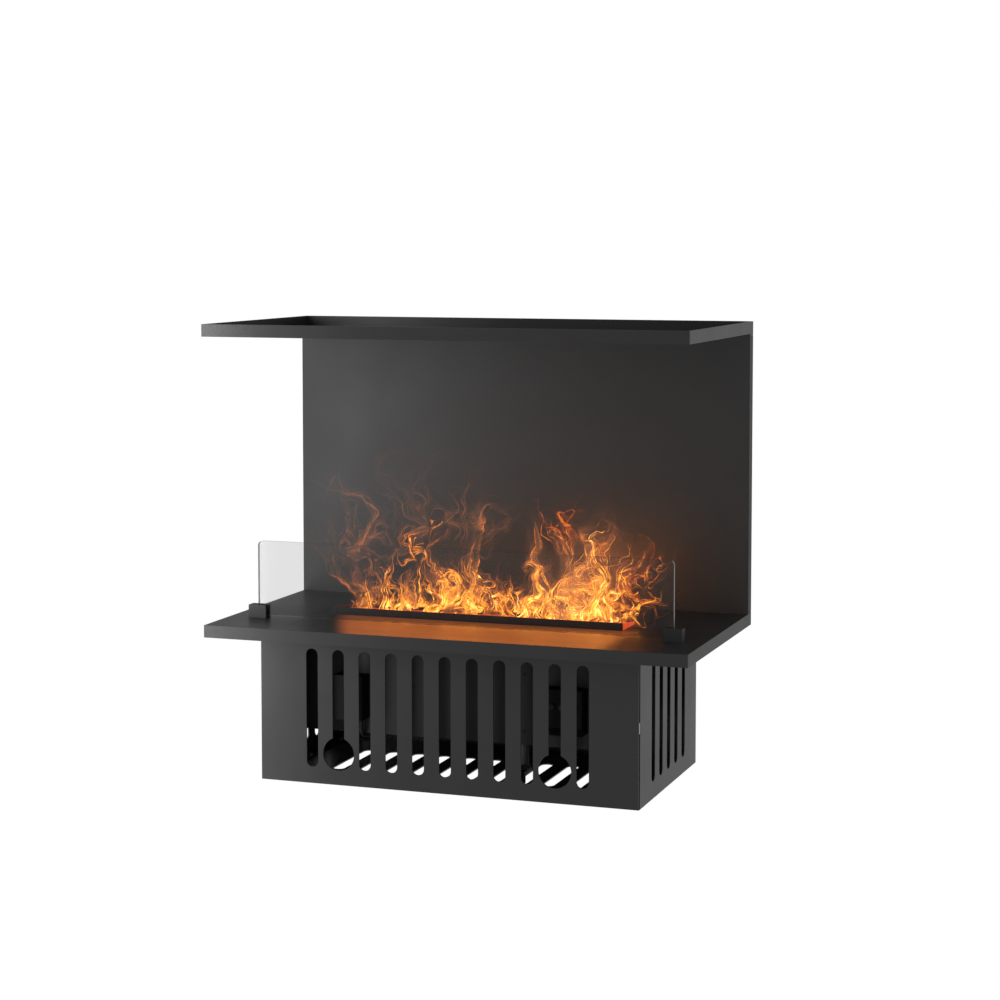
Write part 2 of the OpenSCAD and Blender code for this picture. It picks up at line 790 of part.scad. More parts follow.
// Front half of the power supply box, with the switch opening in front and air slits on top
module supply_cover() {
    color(plastic_black) difference() {
        box_shell(-box_x, supply_w, box_y, split_y, true);
        translate([-box_x - 6.5, box_y - cut, rocker_z - 9.5]) cube([13, shell_t + 2 * cut, 19]);
        for (i = [0:2]) translate([-box_x - 14, box_y + 4.5 + 4 * i, box_z + box_h - shell_t - cut])
            cube([28, 2, shell_t + 2 * cut]);
    }
}

module supply_board() {
    board_y = casing_y - shell_t - 5;
    color(circuit_green) translate([-box_x, 0, box_z + 7]) {
        translate([-15, board_y, 0]) cube([30, 1.6, 58]);
        translate([-13, board_y - 12, 32]) cube([26, 12.1, 22]);
        for (s = [-1, 1]) rod_y(s * 8, board_y - 5, 8, 5, 5.1);
    }
}

module rocker_frame() {
    color(plastic_black) difference() {
        union() {
            translate([-box_x - 7.5, box_y - 1.5, rocker_z - 11]) cube([15, 1.5, 22]);
            translate([-box_x - 6.4, box_y - cut / 2, rocker_z - 9.4]) cube([12.8, 14, 18.8]);
        }
        translate([-box_x - rocker_w / 2 - fit_gap, box_y - 3, rocker_z - rocker_h / 2 - 1.2])
            cube([rocker_w + 2 * fit_gap, 13, rocker_h + 2.4]);
        rod_x(-box_x - 6, rocker_pivot_y, rocker_z, rocker_pin_r + shaft_gap, 12);
    }
}

module rocker() {
    color("#26282a") translate([-box_x, rocker_pivot_y, rocker_z]) {
        rotate([rocker_angle / 2, 0, 0]) crosswise(-rocker_w / 2, rocker_w)
            polygon([[3, -4], [-5.4, -rocker_h / 2], [-3.6, 0], [-5.4, rocker_h / 2], [3, 4]]);
        rod_x(-rocker_w / 2 - 0.8, 0, 0, rocker_pin_r, rocker_w + 1.6);
    }
}

module control_case() {
    color(plastic_black) box_shell(box_x, control_w, split_y, casing_y, false);
}

// Front half of the control box, with a dark window for the remote control's receiver at the foot
module control_cover() {
    color(plastic_black) difference() {
        box_shell(box_x, control_w, box_y, split_y, true);
        for (i = [-1:1])
            rod_y(box_x + i * button_dx, box_y - cut, button_z, button_r + fit_gap, shell_t + 2 * cut);
        rod_y(box_x + button_dx, box_y - cut, lamp_z, 2, shell_t + 2 * cut);
        translate([box_x - control_w / 2 - cut, box_y - cut, window_z - 0.3])
            cube([control_w + 2 * cut, cut + window_t, window_h + 0.6]);
    }
}

module receiver_window() {
    side_gap = 0.4;
    color("#101012") translate([box_x - control_w / 2 + side_gap, box_y, window_z])
        cube([control_w - 2 * side_gap, window_t, window_h]);
}

module control_board() {
    board_y = casing_y - shell_t - 6;
    color(circuit_green) {
        translate([box_x - 27, board_y, box_z + 7]) cube([54, 1.6, box_h - 14]);
        translate([box_x - 22, board_y - 4, box_z + 12]) cube([14, 4.1, 14]);
        for (i = [-1:1])
            translate([box_x + i * button_dx - 3, board_y - 5, button_z - 3]) cube([6, 5.1, 6]);
    }
}

// Push button: i is its place in the row, from -1 on the left to 1 on the right
module push_button(i, tint) {
    color(tint) {
        rod_y(box_x + i * button_dx, box_y - 3, button_z, button_r, 9);
        rod_y(box_x + i * button_dx, box_y + shell_t + fit_gap, button_z, button_r + 1.5, 1.5);
    }
}

module power_button() { push_button(-1, "#303234"); }

module flame_button() { push_button(0, "#303234"); }

module light_button() { push_button(1, "#303234"); }

module status_lamp() {
    color("#3f6b45") translate([box_x + button_dx, box_y, lamp_z]) {
        rod_y(0, -0.6, 0, 1.9, 6);
        rod_y(0, shell_t, 0, 2.6, 1);
    }
}

// ---- Mains inlet and wiring ----

module mains_inlet() {
    color(plastic_black) difference() {
        union() {
            translate([inlet_x - inlet_flange[0] / 2, rear_y, inlet_z - inlet_flange[2] / 2])
                cube(inlet_flange);
            translate([inlet_x - inlet_body[0] / 2, rear_y - inlet_depth, inlet_z - inlet_body[1] / 2])
                cube([inlet_body[0], inlet_depth + cut, inlet_body[1]]);
        }
        translate([inlet_x - 12, rear_y - inlet_recess, inlet_z - 8]) cube([24, inlet_recess + 4, 16]);
        for (s = [-1, 1])
            rod_y(inlet_x + s * inlet_screw_dx, rear_y - cut, inlet_z,
                screw_hole_r, inlet_flange[1] + 2 * cut);
    }
}

module inlet_pins() {
    pin = [2, 14, 4];
    color(zinc) {
        for (s = [-1, 1])
            translate([inlet_x + s * 7 - 1, rear_y - inlet_recess, inlet_z - 3.5]) cube(pin);
        translate([inlet_x - 1, rear_y - inlet_recess, inlet_z + 1.5]) cube(pin);
    }
}

function unit(v) = norm(v) > 0 ? v / norm(v) : v;

// Direction of a route at one of its points
function heading(p, i) =
    let (back = i > 0 ? p[i] - p[i - 1] : [0, 0, 0],
         ahead = i < len(p) - 1 ? p[i + 1] - p[i] : [0, 0, 0],
         both = unit(back) + unit(ahead))
    both / norm(both);

// Ring of points round a route, square to its direction
function lead_ring(p, i, r) =
    let (d = heading(p, i), u = cross(d, lead_ref) / norm(cross(d, lead_ref)), v = cross(d, u))
    [for (k = [0:lead_sides - 1], a = k * 360 / lead_sides) p[i] + r * (cos(a) * u + sin(a) * v)];

// Round lead through the listed points
module lead(p, r) {
    n = lead_sides;
    last = (len(p) - 1) * n;
    polyhedron(
        points = [for (i = [0:len(p) - 1]) each lead_ring(p, i, r)],
        faces = concat(
            [[for (k = [0:n - 1]) k]],
            [[for (k = [n - 1:-1:0]) last + k]],
            [for (i = [0:len(p) - 2], k = [0:n - 1])
                [i * n + k, (i + 1) * n + k, (i + 1) * n + (k + 1) % n, i * n + (k + 1) % n]]));
}

module wiring() {
    color(plastic_black) {
        lead(mains_route, lead_r);
        lead(control_route, lead_r);
    }
}

floor_plate();
side_panel_left();
side_panel_right();
rear_panel();
front_panel();
corner_strips();
magnet_catches();
housing_screws();
shelf_plate();
shelf_nuts();
back_panel();
back_panel_screws();
top_tray();
glass_pane();
glass_holder_left();
glass_holder_right();
holder_pads();
holder_screws();
burner_support_frame();
burner_top_plate();
burner_casing();
burner_nuts();
casing_screws();
water_basin();
disc_housings();
mist_discs();
mouth_channel();
light_bar_front();
light_bar_rear();
light_lens_front();
light_lens_rear();
mouth_end_left();
mouth_end_right();
float_stem();
float_ring();
fan_frame_left();
fan_frame_right();
fan_rotor_left();
fan_rotor_right();
drain_valve();
drain_knob();
supply_case();
supply_cover();
supply_board();
rocker_frame();
rocker();
control_case();
control_cover();
receiver_window();
control_board();
power_button();
flame_button();
light_button();
status_lamp();
mains_inlet();
inlet_pins();
wiring();
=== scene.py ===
"""Looks of the three-sided mist fireplace: camera, light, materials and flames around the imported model."""
from collections import namedtuple
import math

import bpy
import numpy as np
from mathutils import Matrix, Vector


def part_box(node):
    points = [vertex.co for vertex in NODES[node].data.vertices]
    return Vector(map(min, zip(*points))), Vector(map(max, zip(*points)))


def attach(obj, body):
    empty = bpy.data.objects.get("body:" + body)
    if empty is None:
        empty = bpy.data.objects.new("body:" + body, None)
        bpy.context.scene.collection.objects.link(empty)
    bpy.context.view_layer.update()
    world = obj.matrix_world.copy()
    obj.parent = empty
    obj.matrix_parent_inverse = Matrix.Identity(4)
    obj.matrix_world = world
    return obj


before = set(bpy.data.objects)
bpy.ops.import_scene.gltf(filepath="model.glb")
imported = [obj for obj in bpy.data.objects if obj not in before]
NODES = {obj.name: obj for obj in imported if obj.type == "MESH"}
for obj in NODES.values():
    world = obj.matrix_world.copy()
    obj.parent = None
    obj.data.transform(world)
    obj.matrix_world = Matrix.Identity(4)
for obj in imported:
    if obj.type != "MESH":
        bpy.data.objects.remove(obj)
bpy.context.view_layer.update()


def corners(node):
    """A node's lowest and highest corners, to a hundredth of a millimetre."""
    return [[round(value, 5) for value in corner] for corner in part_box(node)]


SHELF_TOP = corners("shelf_plate")[1][2]
SHELF_FRONT = corners("shelf_plate")[0][1]
PLATE_FRONT = corners("burner_top_plate")[0][1]
# Half the vapour slot's length, and half its depth measured over its two lips
SLOT_END = corners("mouth_end_right")[1][0]
LIP_THICK = 0.002
SLOT_HALF = corners("mouth_channel")[1][1] + LIP_THICK
GLASS_BACK = corners("glass_pane")[1][1]


# ---- Camera, light and floor ----

CAMERA_PLACE = (1.265, -3.525, 0.876)
CAMERA_DIP = 4.083
CAMERA_TURN = 19.291
LENS = 83.43
SENSOR = 36.0
LENS_SHIFT = -0.10
FARTHEST = 50.0

# Strength of the surroundings where the camera sees them, and of the sky and floor where they light the
# object
SEEN_WHITE = 1.0
SKY_LIGHT = 0.38
FLOOR_LIGHT = 0.50
FLOOR_HALF = 30.0
STRIP = {"place": (-0.62, -0.58, 0.45), "target": (-0.40, -0.10, 0.45), "size": (0.10, 1.4), "power": 4.4}
# Middle x and power of the lamps that stand in for the flames' light on the back panel
FLAME_LIGHTS = ((-0.13, 0.020), (0.06, 0.028), (0.17, 0.036))
FLAME_LIGHT_TINT = (1.0, 0.42, 0.12)
FLAME_LIGHT_SIZE = (0.12, 0.10)


def make_camera():
    """The camera looks down a little, and the lens shift raises the object in the picture."""
    data = bpy.data.cameras.new("camera")
    data.lens = LENS
    data.sensor_width = SENSOR
    data.shift_y = LENS_SHIFT
    data.clip_end = FARTHEST
    camera = bpy.data.objects.new("camera", data)
    camera.location = CAMERA_PLACE
    camera.rotation_euler = (math.radians(90 - CAMERA_DIP), 0.0, math.radians(CAMERA_TURN))
    bpy.context.scene.collection.objects.link(camera)
    bpy.context.scene.camera = camera


def softbox(name, place, target, size, power, tint=(1.0, 1.0, 1.0)):
    """Rectangular lamp that points at the target. The camera doesn't see it directly."""
    data = bpy.data.lights.new(name, "AREA")
    data.shape = "RECTANGLE"
    data.size, data.size_y = size
    data.energy = power
    data.color = tint
    light = bpy.data.objects.new(name, data)
    light.location = place
    light.rotation_euler = (Vector(target) - Vector(place)).to_track_quat("-Z", "Y").to_euler()
    light.visible_camera = False
    bpy.context.scene.collection.objects.link(light)


def seen_or_lit(tree, seen, lit):
    """A strength that is one value where it is seen directly and another where it lights the object."""
    path = tree.nodes.new("ShaderNodeLightPath")
    strength = tree.nodes.new("ShaderNodeMapRange")
    tree.links.new(path.outputs["Is Camera Ray"], strength.inputs["Value"])
    strength.inputs["To Min"].default_value = lit
    strength.inputs["To Max"].default_value = seen
    return strength.outputs["Result"]


def make_studio():
    """White surroundings, a white floor, a tall strip light on the left and the flames' own light."""
    scene = bpy.context.scene
    scene.view_settings.view_transform = "Standard"
    scene.cycles.transparent_max_bounces = 160
    scene.cycles.max_bounces = 8
    world = bpy.data.worlds.new("studio")
    scene.world = world
    world.use_nodes = True
    back = world.node_tree.nodes["Background"]
    back.inputs["Color"].default_value = (1.0, 1.0, 1.0, 1.0)
    world.node_tree.links.new(seen_or_lit(world.node_tree, SEEN_WHITE, SKY_LIGHT), back.inputs["Strength"])
    mesh = bpy.data.meshes.new("studio_floor")
    signs = ((-1, -1), (1, -1), (1, 1), (-1, 1))
    mesh.from_pydata([(x * FLOOR_HALF, y * FLOOR_HALF, 0) for x, y in signs], [], [(0, 1, 2, 3)])
    floor = bpy.data.objects.new("studio_floor", mesh)
    scene.collection.objects.link(floor)
    floor.visible_shadow = False
    paint = bpy.data.materials.new("studio_floor")
    paint.use_nodes = True
    shader = paint.node_tree.nodes["Principled BSDF"]
    shader.inputs["Base Color"].default_value = (0.02, 0.02, 0.02, 1.0)
    shader.inputs["Specular IOR Level"].default_value = 0.0
    shader.inputs["Roughness"].default_value = 0.9
    shader.inputs["Emission Color"].default_value = (1.0, 1.0, 1.0, 1.0)
    strength = seen_or_lit(paint.node_tree, SEEN_WHITE, FLOOR_LIGHT)
    paint.node_tree.links.new(strength, shader.inputs["Emission Strength"])
    mesh.materials.append(paint)
    softbox("left_strip", **STRIP)
    for x, power in FLAME_LIGHTS:
        softbox("flame_light", (x, 0.03, 0.34), (x, 0.18, 0.36), FLAME_LIGHT_SIZE, power, FLAME_LIGHT_TINT)


# ---- Material nodes ----

class Paint:
    """A procedural material: its node tree and the short cuts that build it."""

    def __init__(self, name):
        self.material = bpy.data.materials.new(name)
        self.material.use_nodes = True
        self.tree = self.material.node_tree
        self.shader = self.tree.nodes["Principled BSDF"]
        self.place = self.node("ShaderNodeTexCoord").outputs["Object"]

    def node(self, kind, **values):
        made = self.tree.nodes.new(kind)
        for key, value in values.items():
            setattr(made, key, value)
        return made

    def link(self, source, target):
        self.tree.links.new(source, target)

    def feed(self, socket, value):
        """A socket's value: another socket, or a constant."""
        if isinstance(value, bpy.types.NodeSocket):
            self.link(value, socket)
        else:
            socket.default_value = value

    def noise(self, scale, detail=3.0, roughness=0.5, where=None, stretch=None):
        made = self.node("ShaderNodeTexNoise")
        made.inputs["Scale"].default_value = scale
        made.inputs["Detail"].default_value = detail
        made.inputs["Roughness"].default_value = roughness
        source = where or self.place
        if stretch:
            mapping = self.node("ShaderNodeMapping")
            mapping.inputs["Scale"].default_value = stretch
            self.link(source, mapping.inputs["Vector"])
            source = mapping.outputs["Vector"]
        self.link(source, made.inputs["Vector"])
        return made.outputs["Fac"]

    def spread(self, value, low, high, to_low=0.0, to_high=1.0, smooth=False):
        """Maps low..high to to_low..to_high."""
        made = self.node("ShaderNodeMapRange")
        if smooth:
            made.interpolation_type = "SMOOTHSTEP"
        self.feed(made.inputs[0], value)
        for i, number in enumerate((low, high, to_low, to_high), 1):
            made.inputs[i].default_value = number
        return made.outputs[0]

    def math(self, operation, a, b=0.0):
        made = self.node("ShaderNodeMath", operation=operation)
        self.feed(made.inputs[0], a)
        self.feed(made.inputs[1], b)
        return made.outputs[0]

    def ramp(self, value, stops):
        """Colour ramp; stops are (position, (r, g, b))."""
        made = self.node("ShaderNodeValToRGB")
        points = made.color_ramp.elements
        while len(points) < len(stops):
            points.new(0.5)
        for point, (position, colour) in zip(points, stops):
            point.position = position
            point.color = (*colour, 1.0)
        self.link(value, made.inputs["Fac"])
        return made.outputs["Color"]

    def axes(self, source):
        made = self.node("ShaderNodeSeparateXYZ")
        self.link(source, made.inputs[0])
        return made.outputs

    def band(self, value, low, high, soft):
        """1 between low and high, fading to 0 over soft outside them."""
        rise = self.spread(value, low - soft, low, smooth=True)
        fall = self.spread(value, high, high + soft, 1.0, 0.0, smooth=True)
        return self.math("MULTIPLY", rise, fall)

    def grain(self, height, strength, distance):
        bump = self.node("ShaderNodeBump")
        bump.inputs["Strength"].default_value = strength
        bump.inputs["Distance"].default_value = distance
        self.link(height, bump.inputs["Height"])
        self.link(bump.outputs["Normal"], self.shader.inputs["Normal"])

    def darken_above(self, level, colour):
        """Replaces the base colour above a height: the burner's raised lips are blacker than its plate."""
        above = self.math("GREATER_THAN", self.axes(self.place)[2], level)
        mixed = self.node("ShaderNodeMix", data_type="RGBA")
        self.link(above, mixed.inputs["Factor"])
        self.link(self.shader.inputs["Base Color"].links[0].from_socket, mixed.inputs["A"])
        mixed.inputs["B"].default_value = (*colour, 1.0)
        self.link(mixed.outputs["Result"], self.shader.inputs["Base Color"])

    def surface(self, colour, spread, roughness, rough_spread, patch=9.0):
        """Base colour and roughness, each varying in soft patches."""
        patches = self.noise(patch, 4.0, 0.6)
        dark = tuple(c * (1 - spread) for c in colour)
        light = tuple(c * (1 + spread) for c in colour)
        self.link(self.ramp(patches, [(0.3, dark), (0.7, light)]), self.shader.inputs["Base Color"])
        self.link(self.spread(patches, 0.3, 0.7, roughness - rough_spread, roughness + rough_spread),
                  self.shader.inputs["Roughness"])


def powder_coat(name, colour, roughness):
    """Sprayed and baked paint on sheet steel: fine orange-peel grain and a dull sheen."""
    paint = Paint(name)
    paint.surface(colour, 0.06, roughness, 0.03)
    peel = paint.noise(1100.0, 2.0)
    waves = paint.noise(260.0, 2.0)
    paint.grain(paint.math("ADD", paint.math("MULTIPLY", waves, 0.5), peel), 0.10, 0.0003)
    return paint


# Colour of the painted reflection of the flames on the shelf's upper side
GLOW_COLOUR = (0.31, 0.074, 0.013, 1.0)
# How far to the right the glow's left edge runs for each metre towards the front
GLOW_SHEAR = 0.434


def reflected_glow(paint, strength):
    """Paints the flames' orange reflection as emission in front of the burner's front lip, on the shelf's
    upper side.
    """
    x, y, z = paint.axes(paint.place)
    from_lip = paint.math("ADD", y, SLOT_HALF)
    sheared = paint.math("ADD", x, paint.math("MULTIPLY", from_lip, GLOW_SHEAR))
    across = paint.math("MULTIPLY",
                        paint.spread(sheared, -SLOT_END - 0.003, -SLOT_END + 0.035, smooth=True),
                        paint.spread(x, SLOT_END - 0.004, SLOT_END + 0.036, 1.0, 0.0, smooth=True))
    along = paint.band(y, SHELF_FRONT + 0.003, -SLOT_HALF - 0.003, 0.002)
    top = paint.spread(z, SHELF_TOP - 0.001, SHELF_TOP - 0.0005)
    seam = paint.band(y, PLATE_FRONT - 0.0012, PLATE_FRONT + 0.0005, 0.0006)
    streaks = paint.spread(paint.noise(14.0, 3.0), 0.3, 0.7, 0.90, 1.08)
    mask = paint.math("MULTIPLY", paint.math("MULTIPLY", across, along), top)
    mask = paint.math("MULTIPLY", mask, paint.spread(seam, 0.0, 1.0, 1.0, 0.6))
    # Painted shade in the painted reflection: dimmer just in front of the lip, where the lip's black face is
    # reflected
    lip_reflection_shade = paint.band(y, -SLOT_HALF - 0.049, -SLOT_HALF + 0.006, 0.0015)
    lip_reflection_shade = paint.spread(lip_reflection_shade, 0.0, 1.0, 1.0, 0.66)
    # Painted highlight: a brighter line across the painted reflection, a little behind the glass
    painted_highlight_line = paint.band(y, GLASS_BACK + 0.0078, GLASS_BACK + 0.0128, 0.001)
    painted_highlight_line = paint.spread(painted_highlight_line, 0.0, 1.0, 1.0, 1.14)
    mask = paint.math("MULTIPLY", paint.math("MULTIPLY", mask, streaks), lip_reflection_shade)
    mask = paint.math("MULTIPLY", mask, painted_highlight_line)
    paint.link(paint.math("MULTIPLY", mask, strength), paint.shader.inputs["Emission Strength"])
    paint.shader.inputs["Emission Color"].default_value = GLOW_COLOUR


def moulded(name, colour, roughness, texture=900.0, depth=0.08):
    """Moulded plastic or rubber with a spark-eroded texture."""
    paint = Paint(name)
    paint.surface(colour, 0.05, roughness, 0.04, 30.0)
    paint.grain(paint.noise(texture, 2.0), depth, 0.0002)
    return paint


def plated(name, colour, roughness):
    """Plated or turned metal with fine turning marks."""
    paint = Paint(name)
    paint.surface(colour, 0.08, roughness, 0.06, 60.0)
    paint.shader.inputs["Metallic"].default_value = 1.0
    paint.grain(paint.noise(700.0, 2.0, stretch=(1.0, 1.0, 6.0)), 0.06, 0.0002)
    return paint


def circuit(name, colour, copper):
    """Circuit board: lacquer over a pattern of tracks."""
    paint = Paint(name)
    tracks = paint.node("ShaderNodeTexBrick")
    tracks.inputs["Scale"].default_value = 60.0
    tracks.inputs["Mortar Size"].default_value = 0.03
    tracks.inputs["Color1"].default_value = (*colour, 1.0)
    tracks.inputs["Color2"].default_value = (*(c * 0.8 for c in colour), 1.0)
    tracks.inputs["Mortar"].default_value = (*copper, 1.0)
    paint.link(paint.place, tracks.inputs["Vector"])
    paint.link(tracks.outputs["Color"], paint.shader.inputs["Base Color"])
    paint.shader.inputs["Roughness"].default_value = 0.35
    return paint


def lit_lens(name, colour, glow, strength):
    """Translucent lens with light behind it, brighter in places; the slot's end faces use it for painted
    flame light.
    """
    paint = Paint(name)
    paint.surface(colour, 0.1, 0.3, 0.05, 40.0)
    pools = paint.noise(90.0, 2.0)
    paint.link(paint.ramp(pools, [(0.3, tuple(c * 0.6 for c in glow)), (0.65, glow)]),
               paint.shader.inputs["Emission Color"])
    paint.shader.inputs["Emission Strength"].default_value = strength
    return paint


def clear_glass(name):
    """Toughened glass: a faint grey film over what is behind, pale ground ends and a fainter top edge."""
    paint = Paint(name)
    normal = paint.axes(paint.node("ShaderNodeNewGeometry").outputs["True Normal"])
    end = paint.math("GREATER_THAN", paint.math("ABSOLUTE", normal[0]), 0.5)
    top = paint.math("GREATER_THAN", paint.math("ABSOLUTE", normal[2]), 0.6)
    wipe = paint.noise(5.0, 3.0)
    film = paint.spread(wipe, 0.3, 0.7, 0.135, 0.155)
    alpha = paint.math("MAXIMUM", paint.math("MAXIMUM", film, paint.math("MULTIPLY", end, 0.85)),
                       paint.math("MULTIPLY", top, 0.5))
    paint.link(alpha, paint.shader.inputs["Alpha"])
    edge = paint.node("ShaderNodeMix", data_type="RGBA")
    paint.link(end, edge.inputs["Factor"])
    edge.inputs["A"].default_value = (0.06, 0.063, 0.063, 1.0)
    edge.inputs["B"].default_value = (0.26, 0.29, 0.285, 1.0)
    paint.link(edge.outputs["Result"], paint.shader.inputs["Base Color"])
    paint.shader.inputs["Roughness"].default_value = 0.12
    return paint


def make_paints():
    steel = powder_coat("steel_coat", (0.024, 0.024, 0.025), 0.33)
    shelf = powder_coat("shelf_coat", (0.022, 0.022, 0.023), 0.40)
    burner = powder_coat("burner_coat", (0.022, 0.022, 0.023), 0.40)
    burner.darken_above(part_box("shelf_plate")[1][2] + 0.0005, (0.005, 0.005, 0.005))
    # Painted reflection of the flames on the shelf and burner plates
    for coat in (shelf, burner):
        reflected_glow(coat, 1.0)
    inner = powder_coat("inner_coat", (0.020, 0.020, 0.021), 0.60)
    back = powder_coat("back_coat", (0.028, 0.028, 0.028), 0.48)
    holder = moulded("holder_black", (0.024, 0.026, 0.026), 0.45)
    rubber = moulded("soft_rubber", (0.010, 0.010, 0.010), 0.8)
    black = moulded("black_plastic", (0.004, 0.004, 0.0045), 0.6)
    black.shader.inputs["Specular IOR Level"].default_value = 0.2
    grey = moulded("grey_plastic", (0.055, 0.056, 0.058), 0.5)
    gloss = moulded("gloss_black", (0.008, 0.008, 0.009), 0.12, 300.0, 0.02)
    button = moulded("button_dark", (0.022, 0.023, 0.024), 0.35, 300.0, 0.03)
    white = moulded("float_white", (0.60, 0.60, 0.56), 0.5)
    zinc = plated("zinc_plate", (0.62, 0.63, 0.64), 0.32)
    brass = plated("brass", (0.70, 0.50, 0.24), 0.35)
    board = circuit("circuit_board", (0.03, 0.16, 0.07), (0.10, 0.26, 0.12))
    strip = circuit("light_board", (0.75, 0.73, 0.66), (0.80, 0.62, 0.30))
    lens = lit_lens("light_lens", (0.9, 0.4, 0.1), (1.0, 0.26, 0.05), 2.0)
    # The slot's end faces: painted light, the right end glowing red-orange as if lit by the flames, the left
    # end nearly dark as painted shade
    end = lit_lens("lit_end", (0.8, 0.15, 0.05), (0.90, 0.085, 0.022), 0.95)
    dim_end = lit_lens("dim_end", (0.10, 0.02, 0.01), (0.90, 0.085, 0.022), 0.06)
    lamp = lit_lens("status_lens", (0.03, 0.10, 0.04), (0.01, 0.05, 0.015), 0.2)
    glass = clear_glass("clear_glass")
    return {
        steel: ["floor_plate", "side_panel_left", "side_panel_right", "rear_panel", "front_panel",
                "top_tray"],
        back: ["back_panel"],
        shelf: ["shelf_plate"],
        burner: ["burner_top_plate"],
        inner: ["burner_support_frame", "burner_casing", "mouth_channel", "casing_screws"],
        holder: ["glass_holder_left", "glass_holder_right"],
        rubber: ["corner_strips", "holder_pads", "wiring"],
        black: ["disc_housings", "float_stem", "fan_frame_left", "fan_frame_right", "fan_rotor_left",
                "fan_rotor_right", "supply_case", "supply_cover", "rocker_frame", "control_case",
                "control_cover", "mains_inlet", "drain_knob"],
        grey: ["water_basin", "drain_valve"],
        gloss: ["rocker", "receiver_window"],
        button: ["power_button", "flame_button", "light_button"],
        white: ["float_ring"],
        zinc: ["magnet_catches", "housing_screws", "shelf_nuts", "back_panel_screws", "holder_screws",
               "burner_nuts", "inlet_pins"],
        brass: ["mist_discs"],
        board: ["supply_board", "control_board"],
        strip: ["light_bar_front", "light_bar_rear"],
        lens: ["light_lens_front", "light_lens_rear"],
        end: ["mouth_end_right"],
        dim_end: ["mouth_end_left"],
        lamp: ["status_lamp"],
        glass: ["glass_pane"],
    }


def paint_nodes():
    for paint, names in make_paints().items():
        for name in names:
            mesh = NODES[name].data
            mesh.materials.clear()
            mesh.materials.append(paint.material)


# ---- Flames ----

# Height where the flames start, points along a sheet or thread, points across a sheet, threads in a
# bundle, and the speed at which the gas rises, in metres a second
BASE = SHELF_TOP + 0.002
STEPS = 60
SHEET_WIDE = 14
BUNDLE_WIDE = 11
RISE = 0.9
# How fast the flow is drawn back to the slot's middle line, in metres a second for each metre off it, and
# the flames' half depth at the slot
PULL_BACK = 12.0
ROOM = 0.030
# Tongues that start higher than this above BASE don't touch the slot, so they fade in more slowly
DETACHED = 0.02
# Mean height of the rippled mist
MIST_TOP = SHELF_TOP + 0.0025
# Size of the swirls, how many waves make them, and their speed. The gain is on the speed of them all.
SWIRLS = ((0.105, 12, 0.30), (0.058, 18, 0.42), (0.031, 26, 0.46), (0.016, 32, 0.36))
SWIRL_GAIN = 2.2

# middle, half: the tongue's place along X and its half width. start, reach: the height above BASE where it
# starts, and about how far it rises. lean: metres sideways for each second. wild: turbulence. bright, red:
# how bright it is, and how dark red its faint parts are. sheets, bundles: how many of each it has.
Tongue = namedtuple("Tongue", "middle half start reach lean wild bright red sheets bundles")
TONGUES = [Tongue(*row) for row in (
    (-0.195, 0.028, 0.000, 0.060, -0.15, 1.0, 0.45, 0.3, 4, 8),
    (-0.150, 0.038, 0.000, 0.055, -0.05, 1.0, 1.10, 0.1, 10, 12),
    (-0.105, 0.035, 0.000, 0.042, 0.00, 1.0, 0.90, 0.2, 7, 8),
    (-0.195, 0.030, 0.020, 0.120, -0.15, 1.1, 0.28, 0.1, 2, 16),
    (-0.210, 0.024, 0.080, 0.100, -0.50, 1.2, 0.22, 0.0, 1, 13),
    (-0.160, 0.028, 0.085, 0.098, 0.05, 1.3, 0.20, 0.0, 1, 13),
    (-0.110, 0.028, 0.120, 0.100, -0.10, 1.3, 0.16, 0.0, 1, 12),
    (-0.110, 0.012, 0.085, 0.045, 0.20, 1.2, 0.80, 0.3, 3, 4),
    (-0.072, 0.030, 0.030, 0.070, -0.15, 1.3, 0.95, 0.2, 8, 10),
    (-0.040, 0.035, 0.000, 0.090, 0.05, 1.1, 1.05, 0.0, 10, 12),
    (-0.010, 0.042, 0.115, 0.075, 0.20, 1.4, 0.20, 0.0, 1, 13),
    (0.015, 0.040, 0.000, 0.050, 0.10, 1.2, 0.75, 0.4, 7, 8),
    (0.035, 0.040, 0.030, 0.060, 0.10, 1.3, 0.20, 0.8, 3, 6),
    (0.070, 0.045, 0.000, 0.060, 0.35, 1.1, 1.05, 0.1, 12, 12),
    (0.100, 0.022, 0.015, 0.078, 0.15, 1.1, 1.05, 0.1, 8, 7),
    (0.150, 0.045, 0.000, 0.095, 0.05, 1.2, 1.25, 0.1, 16, 14),
    (0.165, 0.026, 0.030, 0.100, 0.05, 1.0, 1.25, 0.0, 10, 9),
    (0.200, 0.038, 0.000, 0.095, 0.10, 1.1, 1.25, 0.2, 12, 10),
    (0.212, 0.022, 0.045, 0.070, 0.00, 1.3, 1.20, 0.3, 7, 6),
    (0.150, 0.018, 0.120, 0.060, 0.00, 1.5, 0.42, 1.0, 6, 6),
    (0.230, 0.034, 0.010, 0.060, 0.40, 1.3, 0.85, 0.7, 8, 7),
    (0.255, 0.026, 0.040, 0.060, 0.30, 1.4, 0.70, 0.8, 6, 6),
    (0.285, 0.020, 0.065, 0.045, 0.50, 1.4, 0.60, 0.7, 3, 4),
)]


def turbulence(rng):
    """Random waves whose sum is a swirling flow that neither gathers nor spreads."""
    waves, swirls, shifts = [], [], []
    for size, count, speed in SWIRLS:
        for _ in range(count):
            way = rng.normal(size=3)
            way /= np.linalg.norm(way)
            wave = way * 2 * math.pi / (size * rng.uniform(0.75, 1.3))
            side = np.cross(way, rng.normal(size=3))
            waves.append(wave)
            swirls.append(side / np.linalg.norm(side) * speed * math.sqrt(2.0 / count) * SWIRL_GAIN)
            shifts.append(rng.uniform(0, 2 * math.pi))
    return np.array(waves), np.array(swirls), np.array(shifts)


